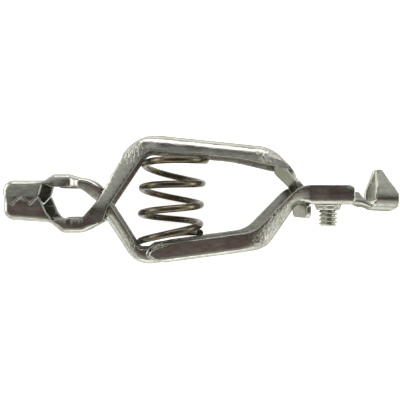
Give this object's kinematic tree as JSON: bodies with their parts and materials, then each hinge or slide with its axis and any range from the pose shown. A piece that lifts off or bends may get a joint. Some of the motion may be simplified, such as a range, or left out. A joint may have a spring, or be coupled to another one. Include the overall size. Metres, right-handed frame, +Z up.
{
  "type": "spring test clip",
  "caption": "Plated steel spring clip: crossed channel arms with toothed jaws, a coil spring between the handles, and a tail with a terminal screw and crimp ears.",
  "frame": {"origin": "centre of the bounding box in X and Y, at the height of the spring's lowest point as the clip lies on its side", "axes": "+X from the jaws to the cable ears, +Y from the lower handle to the upper handle, +Z up through the width of the clip"},
  "size_m": [0.0738, 0.0229, 0.0126],
  "materials": {
    "lower_arm_steel": "bright plated, rolled and pressed",
    "upper_arm_steel": "bright plated, rolled and pressed",
    "spring_wire": "drawn spring wire, dark and lightly oiled",
    "screw_steel": "plated, rolled thread"
  },
  "bodies": {
    "lower_arm": {"lower_arm": "lower_arm_steel", "spring": "spring_wire"},
    "upper_arm": {"upper_arm": "upper_arm_steel"},
    "terminal_screw": {"terminal_screw": "screw_steel"}
  },
  "joints": [
    {"name": "jaw_hinge", "type": "hinge", "parent": "lower_arm", "child": "upper_arm", "pos_m": [0.01815, -0.0002, 0.0063], "axis": [0, 0, 1], "range_deg": [0, 14], "stiffness_Nm_per_rad": 2.5, "springref_deg": -9.17, "deforming": ["spring"]},
    {"name": "screw_turn", "type": "hinge", "parent": "lower_arm", "child": "terminal_screw", "pos_m": [0.02355, 0, 0.0063], "axis": [0, 1, 0], "continuous": true}
  ]
}
